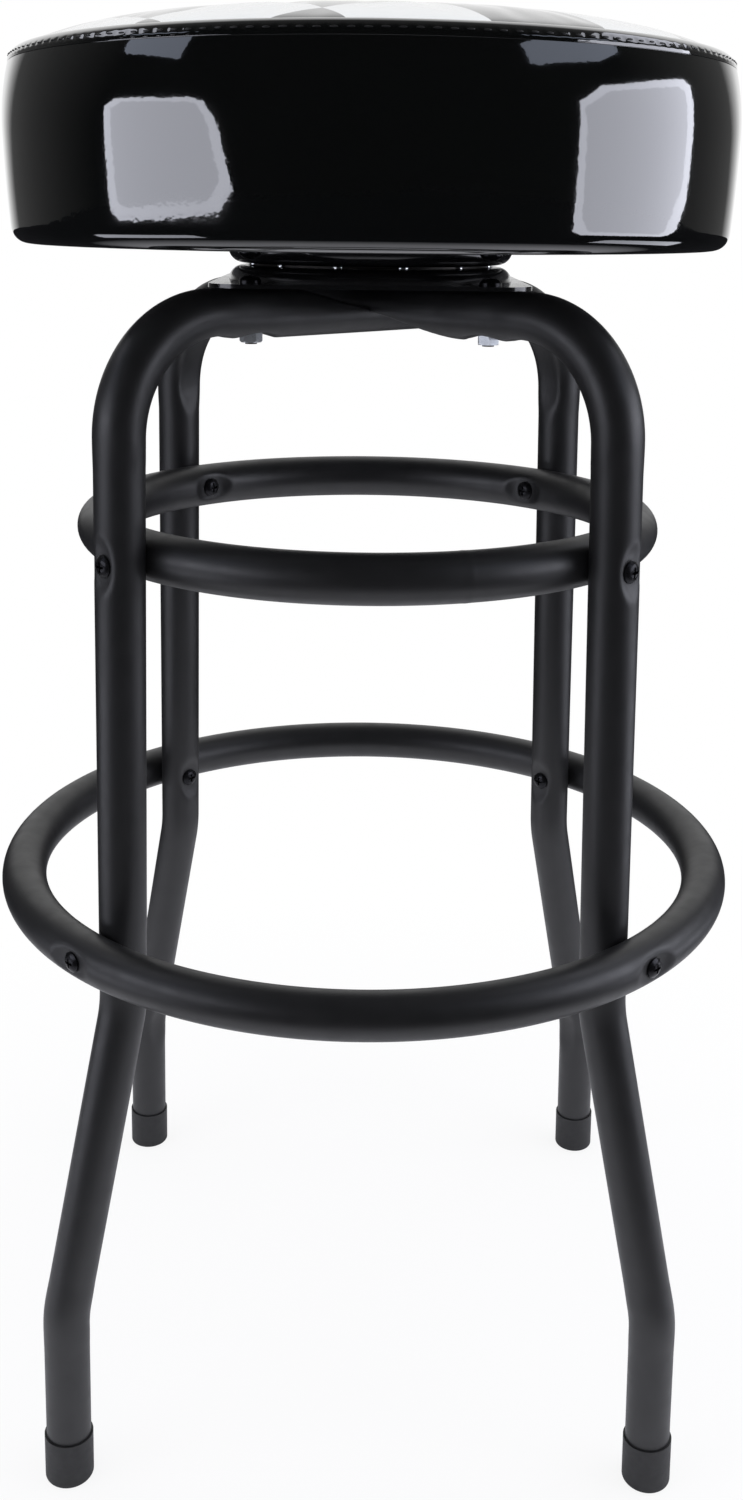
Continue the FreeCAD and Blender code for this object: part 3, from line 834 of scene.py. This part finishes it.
def part_cover(mesh, rest, keep):
    """The faces of the cover whose middles lie where keep says."""
    bm = bmesh.new()
    bm.from_mesh(mesh)
    bm.verts.ensure_lookup_table()
    outside = []
    for face in bm.faces:
        middle = sum((rest[v.index] for v in face.verts), Vector()) / len(face.verts)
        if not keep(axis_distance(middle), middle.z):
            outside.append(face)
    bmesh.ops.delete(bm, geom=outside, context="FACES")
    return bm


EDGE_TUCK = 0.7 * MM
TUCK_WIDTH = 4 * MM


def top_cover(mesh, rest, material):
    """The checked top, tucked down at its edge into the seam."""
    bm = part_cover(mesh, rest, lambda r, z: r < SEAM_R and z > SHOULDER[1])
    for vert in bm.verts:
        vert.co.z -= EDGE_TUCK * smooth_step(axis_distance(vert.co), SEAM_R - TUCK_WIDTH, SEAM_R)
    piece = finish_piece(bm, "top_cover", "seat", material, ["top_cover"])
    add_modifier(piece, "SOLIDIFY", thickness=SKIN_T, offset=-1)
    add_modifier(piece, "SUBSURF", levels=1, render_levels=1)


def side_band(mesh, rest, material):
    """The black band, drawn over the foam and turned in under the board."""
    bm = part_cover(mesh, rest, lambda r, z: r > WINDOW_R and (r > SEAM_R or z < SHOULDER[1]))
    piece = finish_piece(bm, "side_band", "seat", material, ["side_band"])
    add_modifier(piece, "SOLIDIFY", thickness=SKIN_T, offset=-1)
    add_modifier(piece, "SUBSURF", levels=1, render_levels=1)


STITCH_DOWN = 6.2 * MM
STITCH_SIZE = (0.42 * MM, 0.42 * MM, 1.7 * MM)
STITCH_WANDER = 0.2 * MM
NEEDLE_DIMPLE = 0.25 * MM
NEEDLE_REACH = 1.0 * MM
HEM_CLEAR = 0.02 * MM
HEM_TURNED_UNDER = 0.6 * MM


def hem_line():
    """Points down the corner from the seam to the hem's foot, with their outward normals."""
    line = side_section(0, 24, 80, 2)
    line = [p for p in line if p.y > SEAM_Z - HEM_DROP]
    normals = []
    for k in range(len(line)):
        ahead = line[min(k + 1, len(line) - 1)] - line[max(k - 1, 0)]
        normals.append(Vector((-ahead.y, ahead.x)).normalized())
    return line, normals


def seam_hem(material):
    """The turned-down seam allowance, dimpled at each needle hole."""
    line, normals = hem_line()
    downs = [(p - line[0]).length for p in line]
    reach = downs[-1]
    section = []
    for point, normal, down in zip(line, normals, downs):
        rise = HEM_T * math.sqrt(max(1 - (1 - min(down / HEM_T, 1)) ** 2, 0))
        rise *= smooth_step(reach - down, 0, HEM_FADE)
        section.append(point + normal * (rise + HEM_CLEAR))
    section += [p - n * HEM_TURNED_UNDER for p, n in zip(line[::-4], normals[::-4])]
    bm = spun(section, STITCH_COUNT * 6, closed=True)
    hole = line[min(range(len(line)), key=lambda k: abs(downs[k] - STITCH_DOWN))]
    for vert in bm.verts:
        r = axis_distance(vert.co)
        share = math.atan2(vert.co.y, vert.co.x) / (2 * math.pi) * STITCH_COUNT
        aside = (share - round(share)) * 2 * math.pi * r / STITCH_COUNT
        off = max(Vector((r - hole.x, vert.co.z - hole.y)).length - HEM_T, 0)
        dimple = NEEDLE_DIMPLE * math.exp(-(aside ** 2 + off ** 2) / NEEDLE_REACH ** 2)
        shrink = 1 - dimple / r
        vert.co = (vert.co.x * shrink, vert.co.y * shrink, vert.co.z)
    return finish_piece(bm, "seam_hem", "seat", material)


def topstitching(material):
    """One short thread bead for each stitch of the hem."""
    line, normals = hem_line()
    k = min(range(len(line)), key=lambda i: abs((line[i] - line[0]).length - STITCH_DOWN))
    centre = line[k] + normals[k] * (HEM_T + 0.05 * MM)
    bm = bmesh.new()
    for stitch in range(STITCH_COUNT):
        made = bmesh.ops.create_uvsphere(bm, u_segments=8, v_segments=6, radius=1.0)["verts"]
        slack = 1 + (random.random() - 0.5) * 0.16
        width, height, run = STITCH_SIZE
        bmesh.ops.scale(bm, verts=made, vec=(width, height, run * slack))
        bmesh.ops.rotate(bm, verts=made, cent=(0, 0, 0), matrix=Matrix.Rotation(math.pi / 2, 3, "X"))
        rise = (random.random() - 0.5) * STITCH_WANDER
        bmesh.ops.translate(bm, verts=made, vec=(centre.x, 0, centre.y + rise))
        turn = Matrix.Rotation(2 * math.pi * (stitch + 0.5) / STITCH_COUNT, 3, "Z")
        bmesh.ops.rotate(bm, verts=made, cent=(0, 0, 0), matrix=turn)
    return finish_piece(bm, "topstitching", "seat", material)


def foam_cushion(material):
    """The foam pad under the cover, hollow below where the board sits."""
    top, side, turn, under = seat_section(SKIN_T + 0.3 * MM)
    board_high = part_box("seat_board")[1]
    rim, ceiling = board_high.x + 0.3 * MM, board_high.z + 0.2 * MM
    hollow = ((rim, under[1]), (rim, ceiling), (0, ceiling))
    section = top + side + turn + [Vector(p) for p in (under, *hollow)]
    bm = spun(section, 96, closed=False)
    piece = finish_piece(bm, "foam_cushion", "seat", material, ["foam_cushion"])


CLOTH_T = 0.3 * MM
CLOTH_WAVE = 0.25 * MM


def dust_cover(material):
    """The thin cloth under the board, drawn nearly flat, with small slack waves."""
    low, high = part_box("dust_cover")
    level = low.z + CLOTH_T
    section = line_points((0, level), (high.x, level), 40)
    bm = spun(section + [Vector((high.x, level))], 160, closed=False)
    for vert in bm.verts:
        turn = math.atan2(vert.co.y, vert.co.x)
        slack = math.sin(turn * 23 + 1.3) * math.sin(turn * 9)
        slack *= smooth_step(axis_distance(vert.co), 90 * MM, 150 * MM)
        vert.co.z += CLOTH_WAVE * (1 + slack)
    bmesh.ops.reverse_faces(bm, faces=[f for f in bm.faces if f.normal.z > 0])
    piece = finish_piece(bm, "dust_cover", "seat", material, ["dust_cover"])
    add_modifier(piece, "SOLIDIFY", thickness=CLOTH_T, offset=-1)


# The stool

def dress_nodes():
    """Gives each carried-over CAD node its real finish."""
    blackened = plated_metal("black_zinc_plate", "#1d1d1f", "#2b2b2e", 0.24, 0.36, 3 * MM, 0.85)
    zinc = plated_metal("bright_zinc_plate", "#b4b9bf", "#d7dade", 0.25, 0.4, 3 * MM, 0.75)
    chrome_steel = plated_metal("ground_ball_steel", "#c9ccd0", "#dfe1e4", 0.06, 0.12, 4 * MM)
    oiled_steel = plated_metal("oiled_strip_steel", "#242322", "#353331", 0.35, 0.5, 9 * MM, 0.8)
    finishes = (
        (blackened, ("upper_ring_screws", "upper_ring_sleeve_nuts", "foot_ring_screws",
                     "foot_ring_sleeve_nuts", "swivel_rivet", "swivel_bolts", "seat_screws")),
        (cap_plastic(), ("foot_cap_back_right", "foot_cap_back_left", "foot_cap_front_left",
                         "foot_cap_front_right")),
        (plate_enamel(), ("swivel_lower_plate", "swivel_upper_plate")),
        (zinc, ("swivel_nuts",)),
        (oiled_steel, ("ball_cage",)),
        (chrome_steel, ("bearing_balls",)),
        (birch_plywood(), ("seat_board",)),
    )
    for material, names in finishes:
        for name in names:
            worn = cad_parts[name].data.materials
            worn.clear()
            worn.append(material)


add_camera()
add_world()
add_floor()
add_softbox("left_softbox", -57.7, 2.0, 1.3, (1.02, 0.36), 4.6, "#d3d5e0",
            rim=1.3, taper=0.25, cut=0.3, slope=-1)
add_softbox("right_softbox", 81.2, 3.4, 1.3, (1.1, 0.58), 4.6, "#d3d5e0",
            rim=1.3, taper=-0.07, inner=-1, cut=0.5)
add_softbox("high_left", -67, 29, 1.5, (0.5, 0.3), 1.6, "#c9d2e6", taper=-0.6)
add_softbox("high_right", 61, 29, 1.5, (0.78, 0.3), 1.6, "#c9d2e6", cut=0.5, slope=-1)
add_softbox("overhead_left", -100, 42, 1.5, (0.5, 0.4), 2.4, "#d3d5e0")
add_softbox("overhead_right", 110, 42, 1.5, (0.8, 0.5), 2.4, "#d3d5e0")
add_softbox("low_left", -72, -33, 1.35, (0.9, 0.6), 2.8, "#d9dbe6")
add_softbox("low_right", 92, -33, 1.35, (0.9, 0.6), 2.8, "#d9dbe6")

dress_nodes()
coat = powder_coat()
leg_hoop("leg_hoop_under", 45, -1, coat)
leg_hoop("leg_hoop_over", -45, 1, coat)
tube_ring("upper_ring", 1, True, coat)
tube_ring("foot_ring", -1, False, coat)

black_vinyl = black_patent_vinyl()
cover_mesh, cover_rest = seat_cover()
top_cover(cover_mesh, cover_rest, check_patent_vinyl())
side_band(cover_mesh, cover_rest, black_vinyl)
seam_hem(black_vinyl)
topstitching(bonded_thread())
foam_cushion(upholstery_foam())
dust_cover(spunbond_cloth())

bpy.context.scene.view_settings.view_transform = "Standard"
